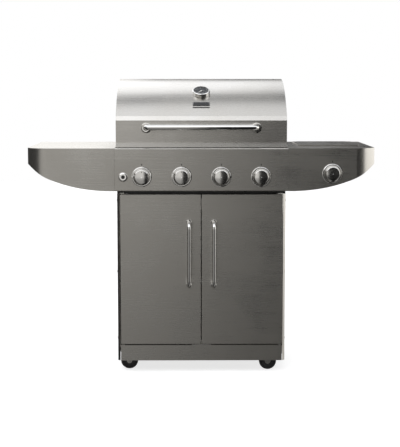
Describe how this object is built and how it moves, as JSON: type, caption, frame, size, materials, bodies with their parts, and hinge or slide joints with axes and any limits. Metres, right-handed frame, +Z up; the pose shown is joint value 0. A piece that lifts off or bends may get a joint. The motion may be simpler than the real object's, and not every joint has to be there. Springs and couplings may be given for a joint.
{
  "type": "gas barbecue grill",
  "caption": "Stainless gas barbecue on a two-door cart with casters, curved hinged hood, control knobs, side shelves and a covered side burner.",
  "frame": {"origin": "on the floor, under the middle of the grill's overall width and depth", "axes": "+X to the right seen from the cook's side, +Y away from the cook, +Z up"},
  "size_m": [1.346, 0.549, 1.149],
  "materials": {
    "stainless_steel": "brushed stainless sheet",
    "hood_steel": "satin stainless sheet of the lid",
    "chrome": "polished",
    "galvanised_steel": "zinc coated sheet steel, dull",
    "black_enamel": "black vitreous enamel",
    "cast_iron": "matt enamelled casting",
    "burner_steel": "plain stainless tube",
    "plated_steel": "bright zinc plated",
    "brass": "machined",
    "knob_metal": "satin polished metal skin",
    "black_plastic": "fine texture",
    "wheel_rubber": "moulded",
    "glass": "clear",
    "needle_paint": "white paint",
    "badge_black": "gloss black plate"
  },
  "bodies": {
    "cart": {"base_tray": "stainless_steel", "left_side_panel": "stainless_steel", "right_side_panel": "stainless_steel", "back_panel": "galvanised_steel", "frame_rails": "black_enamel", "door_catches": "plated_steel", "hinge_pins": "plated_steel", "caster_plates": "plated_steel", "fixed_caster_brackets": "plated_steel", "panel_screws": "plated_steel", "firebox": "black_enamel", "burner_tubes": "burner_steel", "flame_tamers": "black_enamel", "cooking_grates": "cast_iron", "warming_rack": "chrome", "control_panel": "stainless_steel", "control_bezels": "chrome", "gas_valves": "brass", "gas_manifold": "galvanised_steel", "igniter": "black_plastic", "left_shelf": "stainless_steel", "left_shelf_fascia": "stainless_steel", "right_shelf": "stainless_steel", "right_shelf_fascia": "stainless_steel", "side_burner_pan": "stainless_steel", "side_burner_head": "cast_iron", "side_burner_grate": "cast_iron"},
    "lid": {"lid_shell": "hood_steel", "lid_cap_left": "hood_steel", "lid_cap_right": "hood_steel", "lid_handle": "chrome", "lid_handle_ferrules": "chrome", "thermometer_case": "chrome", "thermometer_glass": "glass", "badge_plate": "badge_black"},
    "needle": {"thermometer_needle": "needle_paint"},
    "left_door": {"left_door": "stainless_steel", "left_door_handle": "chrome"},
    "right_door": {"right_door": "stainless_steel", "right_door_handle": "chrome"},
    "side_lid": {"side_burner_lid": "stainless_steel"},
    "ignition_button": {"ignition_button": "black_plastic"},
    "grease_drawer": {"grease_tray": "galvanised_steel", "grease_cup": "galvanised_steel"},
    "front_fork": {"front_swivel_fork": "plated_steel"},
    "rear_fork": {"rear_swivel_fork": "plated_steel"},
    "left_front_wheel": {"left_front_wheel": "wheel_rubber"},
    "left_rear_wheel": {"left_rear_wheel": "wheel_rubber"},
    "right_front_wheel": {"right_front_wheel": "wheel_rubber"},
    "right_rear_wheel": {"right_rear_wheel": "wheel_rubber"},
    "valve_plug_1": {"valve_plug_1": "brass"},
    "knob_1": {"knob_1": "knob_metal"},
    "valve_plug_2": {"valve_plug_2": "brass"},
    "knob_2": {"knob_2": "knob_metal"},
    "valve_plug_3": {"valve_plug_3": "brass"},
    "knob_3": {"knob_3": "knob_metal"},
    "valve_plug_4": {"valve_plug_4": "brass"},
    "knob_4": {"knob_4": "knob_metal"},
    "valve_plug_5": {"valve_plug_5": "brass"},
    "knob_5": {"knob_5": "knob_metal"}
  },
  "joints": [
    {"name": "lid_hinge", "type": "hinge", "parent": "cart", "child": "lid", "pos_m": [0, 0.234, 0.897], "axis": [-1, 0, 0], "range_deg": [0, 85]},
    {"name": "left_door_hinge", "type": "hinge", "parent": "cart", "child": "left_door", "pos_m": [-0.308, -0.1995, 0.4], "axis": [0, 0, -1], "range_deg": [0, 110]},
    {"name": "right_door_hinge", "type": "hinge", "parent": "cart", "child": "right_door", "pos_m": [0.308, -0.1995, 0.4], "axis": [0, 0, 1], "range_deg": [0, 110]},
    {"name": "side_lid_hinge", "type": "hinge", "parent": "cart", "child": "side_lid", "pos_m": [0.5075, 0.21, 0.883], "axis": [-1, 0, 0], "range_deg": [0, 95]},
    {"name": "ignition_push", "type": "slide", "parent": "cart", "child": "ignition_button", "axis": [0, 1, 0], "range_m": [0, 0.005], "stiffness_N_per_m": 300, "springref_m": -0.004},
    {"name": "grease_drawer_slide", "type": "slide", "parent": "cart", "child": "grease_drawer", "axis": [0, 1, 0], "range_m": [0, 0.35]},
    {"name": "front_swivel", "type": "hinge", "parent": "cart", "child": "front_fork", "pos_m": [0.254, -0.154, 0.097], "axis": [0, 0, 1], "continuous": true},
    {"name": "rear_swivel", "type": "hinge", "parent": "cart", "child": "rear_fork", "pos_m": [0.254, 0.182, 0.097], "axis": [0, 0, 1], "continuous": true},
    {"name": "left_front_wheel_spin", "type": "hinge", "parent": "cart", "child": "left_front_wheel", "pos_m": [-0.286, -0.138, 0.034], "axis": [0, 1, 0], "continuous": true},
    {"name": "left_rear_wheel_spin", "type": "hinge", "parent": "cart", "child": "left_rear_wheel", "pos_m": [-0.286, 0.166, 0.034], "axis": [0, 1, 0], "continuous": true},
    {"name": "right_front_wheel_spin", "type": "hinge", "parent": "front_fork", "child": "right_front_wheel", "pos_m": [0.264, -0.154, 0.034], "axis": [0, 1, 0], "continuous": true},
    {"name": "right_rear_wheel_spin", "type": "hinge", "parent": "rear_fork", "child": "right_rear_wheel", "pos_m": [0.264, 0.182, 0.034], "axis": [0, 1, 0], "continuous": true},
    {"name": "needle_turn", "type": "hinge", "parent": "lid", "child": "needle", "pos_m": [0, -0.088, 1.09164], "axis": [0, 0.4787, -0.878], "range_deg": [0, 270]},
    {"name": "valve_1_turn", "type": "hinge", "parent": "cart", "child": "valve_plug_1", "pos_m": [-0.2301, -0.216, 0.775], "axis": [0, 1, 0], "range_deg": [-135, 0]},
    {"name": "knob_1_push", "type": "slide", "parent": "valve_plug_1", "child": "knob_1", "axis": [0, 1, 0], "range_m": [0, 0.003], "stiffness_N_per_m": 900, "springref_m": -0.006},
    {"name": "valve_2_turn", "type": "hinge", "parent": "cart", "child": "valve_plug_2", "pos_m": [-0.0767, -0.216, 0.775], "axis": [0, 1, 0], "range_deg": [-135, 0]},
    {"name": "knob_2_push", "type": "slide", "parent": "valve_plug_2", "child": "knob_2", "axis": [0, 1, 0], "range_m": [0, 0.003], "stiffness_N_per_m": 900, "springref_m": -0.006},
    {"name": "valve_3_turn", "type": "hinge", "parent": "cart", "child": "valve_plug_3", "pos_m": [0.0767, -0.216, 0.775], "axis": [0, 1, 0], "range_deg": [-135, 0]},
    {"name": "knob_3_push", "type": "slide", "parent": "valve_plug_3", "child": "knob_3", "axis": [0, 1, 0], "range_m": [0, 0.003], "stiffness_N_per_m": 900, "springref_m": -0.006},
    {"name": "valve_4_turn", "type": "hinge", "parent": "cart", "child": "valve_plug_4", "pos_m": [0.2301, -0.216, 0.775], "axis": [0, 1, 0], "range_deg": [-135, 0]},
    {"name": "knob_4_push", "type": "slide", "parent": "valve_plug_4", "child": "knob_4", "axis": [0, 1, 0], "range_m": [0, 0.003], "stiffness_N_per_m": 900, "springref_m": -0.006},
    {"name": "valve_5_turn", "type": "hinge", "parent": "cart", "child": "valve_plug_5", "pos_m": [0.5047, -0.216, 0.787], "axis": [0, 1, 0], "range_deg": [-135, 0]},
    {"name": "knob_5_push", "type": "slide", "parent": "valve_plug_5", "child": "knob_5", "axis": [0, 1, 0], "range_m": [0, 0.003], "stiffness_N_per_m": 900, "springref_m": -0.006}
  ]
}
